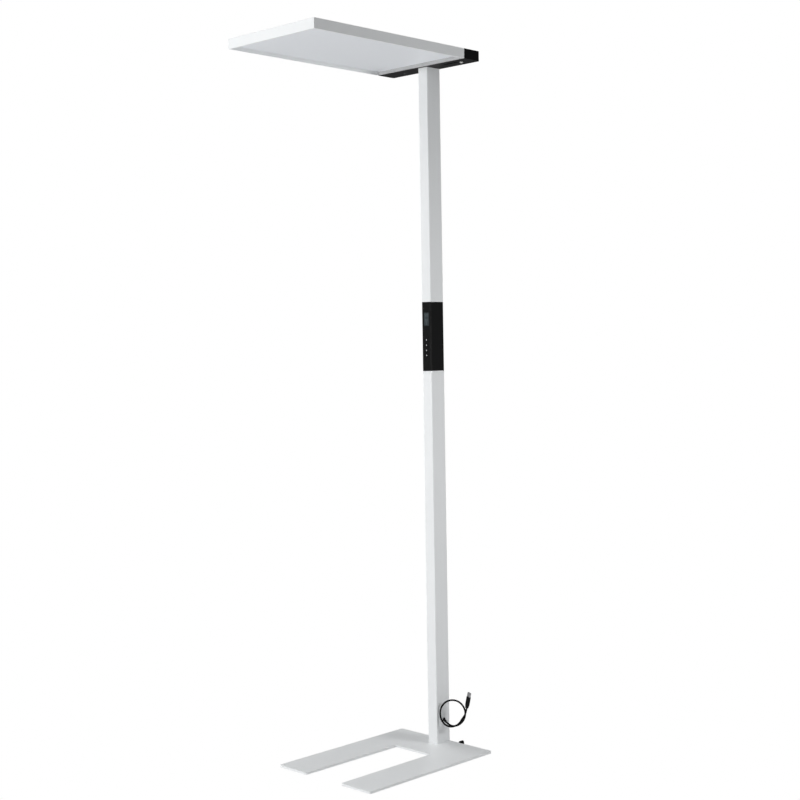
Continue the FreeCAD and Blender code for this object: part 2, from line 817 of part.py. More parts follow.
def make_top_panel():
    sheet = pane_block(head_bottom + panel_shelf_up, panel_thickness, rail_web + pane_gap)
    window = upright(rectangle(0, panel_window_y(), panel_window_width, panel_window_length,
                               panel_window_corner, head_bottom + panel_shelf_up), panel_thickness)
    vent_y = cap_front - vent_inset
    vents = [upright(rectangle(x, vent_y, vent_width, vent_length, 0, head_bottom + panel_shelf_up),
                     panel_thickness) for x in strip_places(vent_count, vent_pitch)]
    return sheet.cut([window] + vents)


def make_upper_diffuser():
    width = panel_window_width + 2 * upper_pane_lap
    length = panel_window_length + 2 * upper_pane_lap
    bottom = head_bottom + panel_shelf_up - diffuser_thickness
    return upright(rectangle(0, panel_window_y(), width, length, panel_window_corner, bottom),
                   diffuser_thickness)


# ---------------------------------------------------------------- cap and what it holds
def cap_post_places():
    """Posts beside the side walls, behind the cross beam and at the rear corners."""
    x = head_width / 2 - cap_wall - cap_post_inset
    rows = (beam_y() + beam_depth / 2 + cap_post_size, rear_face - cap_wall - cap_post_inset)
    return [(side * x, row) for side in (-1, 1) for row in rows]


def cap_plan(inset, bottom):
    """Cap's plan: square corners where it meets the rails, rounded corners at the rear."""
    half = head_width / 2 - inset
    corners = [(-half, cap_front + inset), (half, cap_front + inset),
               (half, rear_face - inset), (-half, rear_face - inset)]
    rear_corner = cap_corner - inset
    return outline(corners, [0.0, 0.0, rear_corner, rear_corner], level(bottom))


def pole_notch(bottom, height):
    """Room for the pole's top end in the rear of the cap."""
    half = pole_width / 2 + pole_notch_gap
    return block(-half, half, pole_y - pole_depth / 2 - pole_notch_gap, rear_face, bottom, bottom + height)


def make_cap_housing():
    """Black moulding: front wall against the rails' ends, side and rear walls, and a closed top."""
    shell = upright(cap_plan(0.0, head_bottom), head_height)
    hollow = upright(cap_plan(cap_wall, head_bottom), head_height - cap_wall)
    half = cap_post_size / 2
    posts = [block(x - half, x + half, y - half, y + half, cover_top, overall_height - cap_wall)
             for x, y in cap_post_places()]
    cuts = [pole_notch(head_bottom, cap_cover_thickness)]
    for side in (-1, 1):
        low, high = rail_key_x(side)
        cuts.append(block(low - pane_gap, high + pane_gap, cap_front, cap_front + cap_wall,
                          rail_key_bottom - pane_gap, rail_key_top + pane_gap))
    return joined([shell.cut(hollow)] + posts).cut(cuts)


def sensor_post_places():
    """Two square posts under opposite corners of the sensor board."""
    half_l = sensor_board_length / 2 - sensor_post_size / 2
    half_w = sensor_board_width / 2 - sensor_post_size / 2
    return [(sensor_board_x + side * half_l, pole_y + sensor_board_y + half_w) for side in (-1, 1)]


def make_cap_cover():
    plate = upright(cap_plan(cap_wall + cap_fit, head_bottom), cap_cover_thickness)
    up = Vector(0, 0, 1)
    half_post = sensor_post_size / 2
    posts = [block(x - half_post, x + half_post, y - half_post, y + half_post, cover_top,
                   cover_top + sensor_post_height) for x, y in sensor_post_places()]
    cuts = [pole_notch(head_bottom, cap_cover_thickness)]
    cuts.append(upright(rectangle(motion_window_x, pole_y + motion_window_y, motion_window_length,
                                  motion_window_width, motion_window_corner, head_bottom),
                        cap_cover_thickness))
    cuts.append(rod(Vector(motion_lens_x, pole_y + motion_lens_y, head_bottom), up,
                    motion_lens_radius + pane_gap, cap_cover_thickness))
    cuts.append(rod(Vector(light_sensor_x, pole_y + light_sensor_y, head_bottom), up,
                    light_sensor_radius + pane_gap, cap_cover_thickness))
    return joined([plate] + posts).cut(cuts)


def make_motion_window():
    """Dark pane sunk in its slot; its long sides lap onto the cover's inner face."""
    y = pole_y + motion_window_y
    pane_bottom = head_bottom + motion_window_recess
    pane = upright(rectangle(motion_window_x, y, motion_window_length - 2 * pane_gap,
                             motion_window_width - 2 * pane_gap, motion_window_corner - pane_gap,
                             pane_bottom), cover_top - pane_bottom)
    lip = upright(rectangle(motion_window_x, y, motion_window_length - 2 * pane_gap,
                            motion_window_width + 2 * window_lap, 0, cover_top), motion_window_lip)
    return joined([pane, lip])


def sensor_flange(x, y, radius):
    """Square flange on the cover's inner face, over a round sensor opening."""
    half = radius + sensor_flange_lap
    return block(x - half, x + half, pole_y + y - half, pole_y + y + half,
                 cover_top, cover_top + sensor_flange_height)


def make_motion_lens():
    """White lens that stands below the cover: a blunt cone on a cylinder."""
    radius, total = motion_lens_radius, motion_lens_height + cap_cover_thickness
    profile = [(0, 0), (motion_lens_tip, 0), (radius, motion_lens_cone), (radius, total), (0, total)]
    foot = Vector(motion_lens_x, pole_y + motion_lens_y, head_bottom - motion_lens_height)
    return joined([turned(profile, foot, Vector(0, 0, 1)),
                   sensor_flange(motion_lens_x, motion_lens_y, radius)])


def make_light_sensor_window():
    """Small clear rod through the cover."""
    foot = Vector(light_sensor_x, pole_y + light_sensor_y, head_bottom - light_sensor_proud)
    stem = rod(foot, Vector(0, 0, 1), light_sensor_radius, light_sensor_proud + cap_cover_thickness)
    return joined([stem, sensor_flange(light_sensor_x, light_sensor_y, light_sensor_radius)])


def make_sensor_board():
    bottom = cover_top + sensor_post_height
    half_l, half_w = sensor_board_length / 2, sensor_board_width / 2
    y = pole_y + sensor_board_y
    board = block(sensor_board_x - half_l, sensor_board_x + half_l, y - half_w, y + half_w,
                  bottom, bottom + sensor_board_thickness)
    chip_half = motion_lens_radius
    lens_y = pole_y + motion_lens_y
    detector = block(motion_lens_x - chip_half, motion_lens_x + chip_half, lens_y - chip_half,
                     lens_y + chip_half, cover_top + sensor_flange_height + pane_gap, bottom)
    return joined([board, detector])


def make_led_driver():
    """Driver in its folded metal case, on the cap's cover."""
    rear = rear_face - cap_wall - driver_rear_gap
    case = block(driver_start_x, driver_end_x, rear - driver_width, rear,
                 cover_top, cover_top + driver_height)
    long_edges = [edge for edge in case.Edges if edge.BoundBox.XLength > driver_length / 2
                  and edge.BoundBox.ZMin > cover_top + driver_bend]
    return case.makeFillet(driver_bend, long_edges)


def make_head_bracket():
    """Steel plate on the pole's top end; the cross beam is bolted to its front part."""
    front = cap_front + cap_wall + pane_gap
    wing_end = front + beam_depth
    rear = rear_face - cap_wall - pane_gap
    half_w, half_p = bracket_width / 2, pole_width / 2
    corners = [(-half_w, front), (half_w, front), (half_w, wing_end), (half_p, pole_y),
               (half_p, rear), (-half_p, rear), (-half_p, pole_y), (-half_w, wing_end)]
    plate = upright(outline(corners, [0.0] * len(corners), level(cover_top)), bracket_thickness)
    cuts = [port_screw_hole(x, y, cover_top, bracket_thickness) for x, y in port_places()]
    cuts.append(block(-wire_slot / 2, wire_slot / 2, pole_y + control_loom_y - wire_slot / 2,
                      pole_y + mains_loom_y + wire_slot / 2, cover_top, bracket_top))
    cuts += [rod(Vector(side * beam_screw_offset, beam_y(), cover_top), Vector(0, 0, 1),
                 beam_screw_radius + screw_hole_gap, bracket_thickness) for side in (-1, 1)]
    return plate.cut(cuts)


def beam_y():
    return cap_front + cap_wall + pane_gap + beam_depth / 2


def beam_top():
    return rail_key_bottom


def make_cross_beam():
    """Rectangular tube between the head's side rails, under the rail keys."""
    half = head_width / 2 - cap_wall - beam_end_gap
    y_low, y_high = beam_y() - beam_depth / 2, beam_y() + beam_depth / 2
    tube = block(-half, half, y_low, y_high, bracket_top, beam_top())
    inside = block(-half, half, y_low + beam_wall, y_high - beam_wall, bracket_top + beam_wall,
                   beam_top() - beam_wall)
    hole = beam_screw_radius + screw_hole_gap
    holes = [rod(Vector(side * beam_screw_offset, beam_y(), bracket_top), Vector(0, 0, 1), hole,
                 beam_top() - bracket_top) for side in (-1, 1)]
    return tube.cut([inside] + holes)


def make_beam_screws():
    return group([screw(Vector(side * beam_screw_offset, beam_y(), beam_top()), Vector(0, 0, -1),
                        beam_screw_radius, beam_top() - cover_top, beam_screw_head,
                        beam_screw_head_height) for side in (-1, 1)])


# ---------------------------------------------------------------- wiring inside
def make_mains_loom():
    """From the gland through the base's channel, up inside the spine and into the driver."""
    low = wire_level()
    y = pole_y + mains_loom_y
    cap_level = bracket_top + loom_bend
    points = [Vector(gland_x, rear_face + gland_projection - gland_bore_depth, low),
              Vector(gland_x, y, low), Vector(0, y, low),
              Vector(0, y, cap_level), Vector(driver_end_x, y, cap_level)]
    return loom(points)


def make_control_loom():
    """From the control board up the upper pole and onto the sensor board."""
    y = pole_y + control_loom_y
    run = cover_top + sensor_post_height + sensor_board_thickness + loom_radius
    end_x = sensor_board_x - sensor_board_length / 2 + control_loom_lap
    points = [Vector(0, y, loom_entry()), Vector(0, y, run), Vector(end_x, y, run)]
    return loom(points)


def make_usb_inner_lead():
    """From the grommet in the pole's side wall up to the control board."""
    y = pole_y + lead_y
    points = [Vector(pole_width / 2 - pole_wall - grommet_depth, y, lead_height),
              Vector(usb_loom_x, y, lead_height), Vector(usb_loom_x, y, usb_entry()),
              Vector(usb_loom_x, board_back + connector_depth, usb_entry())]
    return loom(points)


# ---------------------------------------------------------------- short lead with its plug
def ring_axes():
    """Directions of the lead's loop: along it, up it, and out of it towards the front."""
    heading = math.radians(ring_heading)
    along = Vector(math.cos(heading), math.sin(heading), 0)
    out = Vector(math.sin(heading), -math.cos(heading), 0)
    return along, Vector(0, 0, 1), out


def ring_place(reach, rise, shift):
    """Point at a reach along the loop's plane, a rise up it and a shift out of it."""
    along, up, out = ring_axes()
    centre = Vector(ring_centre_x, pole_y + ring_centre_y, ring_centre_z)
    return centre + along * reach + up * rise + out * shift


def ring_station(place):
    """Point and heading at one place of the loop's turn, where its neighbours give the drift."""
    angle, reach, shift = ring_turn[place]
    before = ring_turn[max(place - 1, 0)]
    after = ring_turn[min(place + 1, len(ring_turn) - 1)]
    span = math.radians(after[0] - before[0])
    reach_drift = (after[1] - before[1]) / span
    shift_drift = (after[2] - before[2]) / span
    turn = math.radians(angle)
    point = ring_place(ring_half_width * reach * math.cos(turn), ring_half_height * reach * math.sin(turn),
                       shift)
    along, up, out = ring_axes()
    heading = (along * (ring_half_width * (reach_drift * math.cos(turn) - reach * math.sin(turn)))
               + up * (ring_half_height * (reach_drift * math.sin(turn) + reach * math.cos(turn)))
               + out * shift_drift)
    return point, heading.normalize()


def boot_end():
    """Root, tip and heading of the drooping boot on the pole's side face."""
    droop = math.radians(boot_droop)
    heading = Vector(math.cos(droop), 0, -math.sin(droop))
    face = Vector(pole_width / 2, pole_y + lead_y, lead_height)
    return face, face + heading * boot_length, heading


def biarc(start, start_heading, end, end_heading):
    """Two tangent arcs from one point and heading to another."""
    chord = end - start
    a = 2 * (1 - start_heading.dot(end_heading))
    b = chord.dot(start_heading + end_heading)
    reach = (math.sqrt(b * b + a * chord.dot(chord)) - b) / a
    first_corner = start + start_heading * reach
    second_corner = end - end_heading * reach
    joint = (first_corner + second_corner) * 0.5
    joint_heading = (second_corner - first_corner).normalize()
    return [arc_by_heading(start, start_heading, joint), arc_by_heading(joint, joint_heading, end)]


def arc_by_heading(start, heading, end):
    """Arc that leaves start along heading and passes through end."""
    chord = end - start
    along = heading.dot(chord)
    side = chord - heading * along
    if side.Length < 1e-6:
        return Part.LineSegment(start, end).toShape()
    radius = chord.dot(chord) / (2 * side.Length)
    inward = Vector(side).normalize()
    centre = start + inward * radius
    middle_way = (start - centre).normalize() + (end - centre).normalize()
    middle = centre + middle_way.normalize() * radius
    return Part.Arc(start, middle, end).toShape()


def lead_stations():
    """Points and headings that the lead passes through, from its boot to its plug."""
    _, tip, tip_heading = boot_end()
    first = [(tip, tip_heading), (tip + tip_heading * 2 * lead_radius, tip_heading)]
    ring = [ring_station(place) for place in range(len(ring_turn))]
    along, up, _ = ring_axes()
    lean = math.radians(plug_lean)
    heading = along * math.sin(lean) + up * math.cos(lean)
    foot = ring_place(plug_foot_reach, plug_foot_rise, plug_foot_shift)
    return first + ring + [(foot - heading * lead_straight, heading), (foot, heading)]


def lead_path():
    """The lead's centre line: a straight start and end, and biarcs between its stations."""
    stations = lead_stations()
    edges = [Part.LineSegment(stations[0][0], stations[1][0]).toShape()]
    for (start, start_heading), (end, end_heading) in zip(stations[1:-2], stations[2:-1]):
        edges += biarc(start, start_heading, end, end_heading)
    edges.append(Part.LineSegment(stations[-2][0], stations[-1][0]).toShape())
    return Part.Wire(edges)


def make_usb_cable():
    """The lead as one unbroken tube, with as many sides as lead_facets."""
    path = lead_path()
    start, heading = lead_stations()[0]
    area = math.pi * lead_radius ** 2
    circle = math.sqrt(2 * area / (lead_facets * math.sin(2 * math.pi / lead_facets)))
    ring = ring_of(lead_facets, start, heading, circle)
    cable = path.makePipeShell([ring], True, False)
    print("lead: length %.1f, volume ratio %.4f, least radius %.1f" % (
        path.Length, cable.Volume / (path.Length * area), least_radius(path)))
    print("lead: least gap to itself %.2f" % least_self_gap(path))
    return cable


def least_radius(path):
    return min(edge.Curve.Radius for edge in path.Edges if isinstance(edge.Curve, Part.Circle))


def least_self_gap(path):
    """Smallest gap between stretches of the lead that are well apart along it."""
    count = int(path.Length / lead_gap_step)
    points = path.discretize(Number=count)
    apart = int(8 * lead_radius / lead_gap_step)
    least = min((points[i] - points[j]).Length for i in range(count) for j in range(i + apart, count))
    return least - 2 * lead_radius


def make_usb_gland():
    """Grommet in the pole's wall, its collar and a tapered boot that droops with the lead."""
    face, _, heading = boot_end()
    right = Vector(1, 0, 0)
    grommet = rod(face - right * (pole_wall + grommet_depth), right, grommet_radius,
                  pole_wall + grommet_depth)
    collar = rod(face, right, boot_collar_radius, boot_collar_thickness)
    boot = Part.makeCone(boot_radius, boot_tip_radius, boot_length, face, heading)
    outside = block(face.x, face.x + 2 * boot_length, face.y - 2 * boot_radius,
                    face.y + 2 * boot_radius, 0, lead_height + 2 * boot_radius)
    return joined([grommet, collar, boot.common(outside)])


def plug_frame():
    """Where the plug starts, which way it points, and its wide and flat directions."""
    foot, heading = lead_stations()[-1]
    _, _, out = ring_axes()
    flat = (out - heading * out.dot(heading)).normalize()
    wide = heading.cross(flat).normalize()
    turn = math.radians(plug_face_turn)
    wide_turned = wide * math.cos(turn) + flat * math.sin(turn)
    flat_turned = heading.cross(wide_turned).normalize()
    return foot, heading, wide_turned, flat_turned


def plug_section(distance, width, thickness, radius):
    """Rounded rectangle across the plug at a distance along it."""
    foot, heading, wide, flat = plug_frame()
    centre = foot + heading * distance
    half_w, half_t = width / 2, thickness / 2
    corners = [(-half_w, -half_t), (half_w, -half_t), (half_w, half_t), (-half_w, half_t)]
    return outline(corners, [radius] * 4, lambda spot: centre + wide * spot.x + flat * spot.y)


def plug_side(side, depth, neck, full):
    """Outline of the grip seen along depth: it widens from its neck to its full size along side."""
    foot, heading, _, _ = plug_frame()
    low = foot - depth * plug_body_width
    corners = [(-neck / 2, 0), (neck / 2, 0), (full / 2, plug_shoulder), (full / 2, plug_body_length),
               (-full / 2, plug_body_length), (-full / 2, plug_shoulder)]
    face = Part.Face(outline(corners, [0.0] * 6, lambda spot: low + side * spot.x + heading * spot.y))
    return face.extrude(depth * 2 * plug_body_width)


def make_usb_plug_body():
    """Overmoulded grip: rounded along its length, and tapered to a neck where the lead enters."""
    _, heading, wide, flat = plug_frame()
    grip = Part.Face(plug_section(0, plug_body_width, plug_body_thickness, plug_body_corner))
    grip = grip.extrude(heading * plug_body_length)
    grip = grip.common(plug_side(wide, flat, plug_neck_width, plug_body_width))
    return grip.common(plug_side(flat, wide, plug_neck_thickness, plug_body_thickness))


def make_usb_plug_shell():
    _, heading, _, _ = plug_frame()
    wall = plug_shell_wall
    outer = Part.Face(plug_section(plug_body_length, plug_shell_width, plug_shell_thickness,
                                   plug_shell_corner))
    inner = Part.Face(plug_section(plug_body_length, plug_shell_width - 2 * wall,
                                   plug_shell_thickness - 2 * wall, 0.0))
    return outer.cut(inner).Faces[0].extrude(heading * plug_shell_length)


def make_usb_plug_tongue():
    foot, heading, wide, flat = plug_frame()
    inner_w = plug_shell_width - 2 * plug_shell_wall - 2 * plug_tongue_gap
    inner_t = plug_shell_thickness - 2 * plug_shell_wall - 2 * plug_tongue_gap
    drop = (inner_t - plug_tongue_thickness) / 2
    centre = foot + heading * plug_body_length - flat * drop
    half_w, half_t = inner_w / 2 - plug_shell_corner, plug_tongue_thickness / 2
    corners = [(-half_w, -half_t), (half_w, -half_t), (half_w, half_t), (-half_w, half_t)]
    section = outline(corners, [0.0] * 4, lambda spot: centre + wide * spot.x + flat * spot.y)
    return Part.Face(section).extrude(heading * (plug_shell_length - plug_tongue_set_back))


# ---------------------------------------------------------------- the lamp's pieces
pieces = {
    "base_plate": make_base_plate(),
    "base_pads": make_base_pads(),
    "channel_cover": make_channel_cover(),
    "mains_gland": make_mains_gland(),
    "lower_pole": make_lower_pole(),
    "upper_pole": make_upper_pole(),
    "unit_chassis": make_unit_chassis(),
    "port_screws": make_port_screws(),
    "control_housing": make_control_housing(),
    "control_panel": make_control_panel(),
    "display_window": make_display_window(),
    "display_module": make_display_module(),
    "control_board": make_control_board(),
    "key_switches": make_key_switches(),
    "left_rail": make_side_rail(-1),
    "right_rail": make_side_rail(1),
    "front_rail": make_front_rail(),
    "rear_rim": make_rear_rim(),
    "corner_keys": make_corner_keys(),
    "rail_keys": make_rail_keys(),
    "lower_diffuser": make_lower_diffuser(),
    "light_plate": make_light_plate(),
    "lower_light_strips": make_lower_strips(),
    "upper_light_strips": make_upper_strips(),
    "top_panel": make_top_panel(),
    "upper_diffuser": make_upper_diffuser(),
    "cap_housing": make_cap_housing(),
    "cap_cover": make_cap_cover(),
    "motion_window": make_motion_window(),
    "motion_lens": make_motion_lens(),
    "light_sensor_window": make_light_sensor_window(),
    "sensor_board": make_sensor_board(),
    "led_driver": make_led_driver(),
    "head_bracket": make_head_bracket(),
    "cross_beam": make_cross_beam(),
    "beam_screws": make_beam_screws(),
    "mains_loom": make_mains_loom(),
    "control_loom": make_control_loom(),
    "usb_inner_lead": make_usb_inner_lead(),
    "usb_gland": make_usb_gland(),
    "usb_cable": make_usb_cable(),
    "usb_plug_body": make_usb_plug_body(),
    "usb_plug_shell": make_usb_plug_shell(),
    "usb_plug_tongue": make_usb_plug_tongue(),
}
for place, key_level in enumerate(key_levels):
    pieces["key_%d" % (place + 1)] = make_key(key_level)

os.makedirs("parts", exist_ok=True)
for name, shape in pieces.items():
    shape.exportStep("parts/%s.step" % name)
    print("%-22s solids %2d volume %12.1f valid %s" % (name, len(shape.Solids), shape.Volume,
                                                      shape.isValid()))
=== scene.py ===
import math

import bmesh
import bpy
from mathutils import Matrix, Vector


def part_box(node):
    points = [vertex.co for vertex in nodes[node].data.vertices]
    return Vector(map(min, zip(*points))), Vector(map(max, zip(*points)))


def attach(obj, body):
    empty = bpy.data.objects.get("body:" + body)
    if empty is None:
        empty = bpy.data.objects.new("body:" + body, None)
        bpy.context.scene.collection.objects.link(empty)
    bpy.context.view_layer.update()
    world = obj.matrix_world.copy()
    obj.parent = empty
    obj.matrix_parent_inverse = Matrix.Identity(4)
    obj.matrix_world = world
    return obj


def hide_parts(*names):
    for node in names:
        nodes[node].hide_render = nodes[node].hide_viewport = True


# Office floor lamp: finishes, short lead, small fasteners, floor, light and camera around the CAD frame.
# Metres, in the row frame: origin on the floor in the middle of the plan, +Z up, +Y to the rear.
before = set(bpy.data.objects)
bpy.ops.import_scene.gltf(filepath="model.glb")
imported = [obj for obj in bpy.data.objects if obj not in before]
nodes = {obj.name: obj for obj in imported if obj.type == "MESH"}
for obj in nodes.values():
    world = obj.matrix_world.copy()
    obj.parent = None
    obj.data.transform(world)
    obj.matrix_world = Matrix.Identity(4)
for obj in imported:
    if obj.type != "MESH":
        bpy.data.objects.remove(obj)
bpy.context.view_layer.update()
MM = 0.001
UP = Vector((0, 0, 1))


def add_object(name, data):
    """An object of this data in the scene's collection."""
    made = bpy.data.objects.new(name, data)
    bpy.context.scene.collection.objects.link(made)
    return made


# ---------------------------------------------------------------- camera
camera_place = Vector((2.7309, -2.6634, 1.1465))
camera_azimuth = math.radians(44.23)      # its heading, from +Y towards -X
camera_roll = math.radians(0.881)
camera_lens = 63.42                       # millimetres, as is the sensor's width
camera_sensor = 36.0
camera_shift = -0.0726
camera_reach = 60.0


def make_camera():
    """Camera that looks along the horizon; its shift frames the whole height of the lamp."""
    data = bpy.data.cameras.new("camera")
    data.sensor_width = camera_sensor
    data.lens = camera_lens
    data.shift_y = camera_shift
    data.clip_end = camera_reach
    camera = add_object("camera", data)
    level_right = Vector((math.cos(camera_azimuth), math.sin(camera_azimuth), 0))
    view_right = level_right * math.cos(camera_roll) - UP * math.sin(camera_roll)
    view_up = UP * math.cos(camera_roll) + level_right * math.sin(camera_roll)
    axes = Matrix((view_right, view_up, view_right.cross(view_up))).transposed()
    camera.matrix_world = Matrix.Translation(camera_place) @ axes.to_4x4()
    bpy.context.scene.camera = camera


make_camera()
bpy.context.scene.view_settings.view_transform = "Standard"


# ---------------------------------------------------------------- helpers of the finishes
def linear(*tone):
    """Linear colour from an 8-bit screen colour."""
    spread = [value / 255 for value in tone]
    return [value / 12.92 if value <= 0.04045 else ((value + 0.055) / 1.055) ** 2.4 for value in spread]


class Finish:
    """A material of shader nodes, patterned in object space."""

    def __init__(self, name, roughness=0.5, metallic=0.0, **sockets):
        self.material = bpy.data.materials.new(name)
        self.material.use_nodes = True
        self.tree = self.material.node_tree
        self.shader = self.tree.nodes["Principled BSDF"]
        self.shader.inputs["Roughness"].default_value = roughness
        self.shader.inputs["Metallic"].default_value = metallic
        for socket, value in sockets.items():
            self.shader.inputs[socket.replace("_", " ")].default_value = value
        self.place = self.add("ShaderNodeTexCoord").outputs["Object"]

    def add(self, kind, inputs=None, **settings):
        """A new node, with its inputs linked or set."""
        made = self.tree.nodes.new(kind)
        for setting, value in settings.items():
            setattr(made, setting, value)
        for socket, value in (inputs or {}).items():
            if isinstance(value, bpy.types.NodeSocket):
                self.tree.links.new(value, made.inputs[socket])
            else:
                made.inputs[socket].default_value = value
        return made

    def stretched(self, scale):
        """Object coordinates scaled by a different factor on each axis."""
        return self.add("ShaderNodeMapping", {"Vector": self.place, "Scale": scale}).outputs["Vector"]

    def noise(self, scale, detail=2.0, place=None):
        """Noise, in object coordinates where no other place is given."""
        texture = self.add("ShaderNodeTexNoise", {"Vector": place or self.place, "Scale": scale,
                                                  "Detail": detail})
        return texture.outputs["Fac"]

    def between(self, factor, low, high):
        """A noise factor's usual span, spread from low to high."""
        ranged = self.add("ShaderNodeMapRange", {"Value": factor, "From Min": 0.3, "From Max": 0.7,
                                                 "To Min": low, "To Max": high})
        return ranged.outputs["Result"]

    def mixed(self, factor, first, second):
        """Mix of two colours, each a list or a socket."""
        mix = self.add("ShaderNodeMix", {"Factor": factor}, data_type="RGBA")
        for socket, value in ((6, first), (7, second)):
            if isinstance(value, bpy.types.NodeSocket):
                self.tree.links.new(value, mix.inputs[socket])
            else:
                mix.inputs[socket].default_value = (*value, 1.0)
        return mix.outputs[2]

    def colour(self, source):
        """Links the base colour to a socket."""
        self.tree.links.new(source, self.shader.inputs["Base Color"])

    def shaded(self, colour, factor, depth):
        """Colour that varies a little, by depth, with a factor."""
        darker = [value * (1 - depth) for value in colour]
        return self.mixed(factor, darker, colour)

    def vary_roughness(self, factor, low, high):
        self.tree.links.new(self.between(factor, low, high), self.shader.inputs["Roughness"])

    def bump(self, height, distance, strength=1.0, soft_edge=0.0):
        """Relief of the surface, and a rounded look of the edges where soft_edge is given."""
        bump = self.add("ShaderNodeBump", {"Height": height, "Distance": distance, "Strength": strength})
        if soft_edge:
            edge = self.add("ShaderNodeBevel", {"Radius": soft_edge}, samples=4)
            self.tree.links.new(edge.outputs["Normal"], bump.inputs["Normal"])
        self.tree.links.new(bump.outputs["Normal"], self.shader.inputs["Normal"])

    def put_on(self, *targets):
        """Makes this the only material of CAD nodes, by name, or of objects."""
        for target in targets:
            piece = nodes[target] if isinstance(target, str) else target
            piece.data.materials.clear()
            piece.data.materials.append(self.material)


# ---------------------------------------------------------------- kinds of finish
def powder_coat():
    """White coat with a fine orange peel."""
    coat = Finish("white_powder_coat", Specular_IOR_Level=0.45)
    white = linear(237, 239, 240)
    coat.colour(coat.shaded(white, coat.noise(14.0, 3.0), 0.03))
    peel = coat.noise(900.0, 3.0)
    coat.vary_roughness(coat.noise(60.0, 4.0), 0.38, 0.48)
    coat.bump(peel, 0.00008, 0.5, 0.0008)
    return coat


def moulded(name, tone, rough, grain=0.00003, specular=0.35, soft_edge=0.0004):
    """Moulded plastic with a spark-eroded grain."""
    plastic = Finish(name, Specular_IOR_Level=specular)
    plastic.colour(plastic.shaded(tone, plastic.noise(40.0, 3.0), 0.25))
    plastic.vary_roughness(plastic.noise(250.0, 3.0), rough - 0.03, rough + 0.03)
    plastic.bump(plastic.noise(2600.0, 2.0), grain, 0.6, soft_edge)
    return plastic


def metal(name, tone, rough, grain):
    """Bare metal with a drawn grain along the axis that grain scales least."""
    bare = Finish(name, metallic=1.0)
    lines = bare.noise(1.0, 4.0, bare.stretched(grain))
    bare.colour(bare.shaded(tone, lines, 0.12))
    bare.vary_roughness(lines, rough - 0.06, rough + 0.08)
    bare.bump(lines, 0.00002, 0.4, 0.0003)
    return bare


def opal_pane(name, tone):
    """Opal sheet with a fine prismatic face."""
    pane = Finish(name, Specular_IOR_Level=0.4)
    prisms = pane.add("ShaderNodeTexVoronoi", {"Vector": pane.place, "Scale": 650.0, "Randomness": 0.0})
    pane.colour(pane.shaded(tone, pane.noise(5.0, 3.0), 0.03))
    pane.vary_roughness(pane.noise(90.0, 3.0), 0.42, 0.52)
    pane.bump(prisms.outputs["Distance"], 0.0001, 0.35)
    return pane


def circuit_board():
    """Green board with fine tracks."""
    board = Finish("circuit_board", roughness=0.35)
    tracks = board.add("ShaderNodeTexBrick", {"Vector": board.place, "Scale": 260.0,
                                              "Mortar Size": 0.03})
    board.colour(board.mixed(tracks.outputs["Fac"], (0.01, 0.09, 0.035), (0.02, 0.15, 0.06)))
    board.bump(tracks.outputs["Fac"], 0.00003, 0.4)
    return board


def light_strip():
    """White circuit strip with a row of yellow emitters."""
    emitters_per_metre, emitter_share = 80, 0.25
    strip = Finish("light_strip", roughness=0.4)
    split = strip.add("ShaderNodeSeparateXYZ", {"Vector": strip.stretched((1, emitters_per_metre, 1))})
    along = strip.add("ShaderNodeMath", {0: split.outputs["Y"]}, operation="FRACT")
    mask = strip.add("ShaderNodeMath", {0: along.outputs[0], 1: emitter_share}, operation="LESS_THAN")
    strip.colour(strip.mixed(mask.outputs[0], (0.8, 0.8, 0.79), (0.75, 0.6, 0.12)))
    return strip


def display_pane():
    """Grey reflective display under a gloss window, with a painted sheen that makes it lighter towards
    its upper end.
    """
    pane = Finish("display_pane", roughness=0.12, Specular_IOR_Level=0.5)
    generated = pane.add("ShaderNodeTexCoord").outputs["Generated"]
    split = pane.add("ShaderNodeSeparateXYZ", {"Vector": generated})
    # painted sheen: the grey blends to a lighter grey towards the display's upper end
    rise = pane.add("ShaderNodeMapRange", {"Value": split.outputs["Z"], "To Min": 0.0, "To Max": 1.0})
    grey = pane.mixed(rise.outputs["Result"], linear(52, 58, 61), linear(64, 72, 75))
    pane.colour(pane.mixed(pane.noise(3000.0, 1.0), grey, linear(58, 65, 68)))
    return pane


def key_cap():
    """Black key with a light printed spot in the middle of its face."""
    spot_radius, spot_blur = 0.2, 0.01      # shares of the key's width
    cap = Finish("key_cap", roughness=0.4, Specular_IOR_Level=0.4)
    generated = cap.add("ShaderNodeTexCoord").outputs["Generated"]
    centred = cap.add("ShaderNodeVectorMath", {0: generated, 1: (0.5, 0.0, 0.5)}, operation="SUBTRACT")
    across = cap.add("ShaderNodeVectorMath", {0: centred.outputs[0], 1: (1.0, 0.0, 1.0)},
                     operation="MULTIPLY")
    reach = cap.add("ShaderNodeVectorMath", {0: across.outputs[0]}, operation="LENGTH")
    spot = cap.add("ShaderNodeMapRange", {"Value": reach.outputs["Value"],
                                          "From Min": spot_radius - spot_blur,
                                          "From Max": spot_radius + spot_blur,
                                          "To Min": 1.0, "To Max": 0.0})
    cap.colour(cap.mixed(spot.outputs["Result"], (0.009, 0.009, 0.01), (0.55, 0.56, 0.57)))
    cap.bump(cap.noise(2500.0, 2.0), 0.00001, 0.4)
    return cap


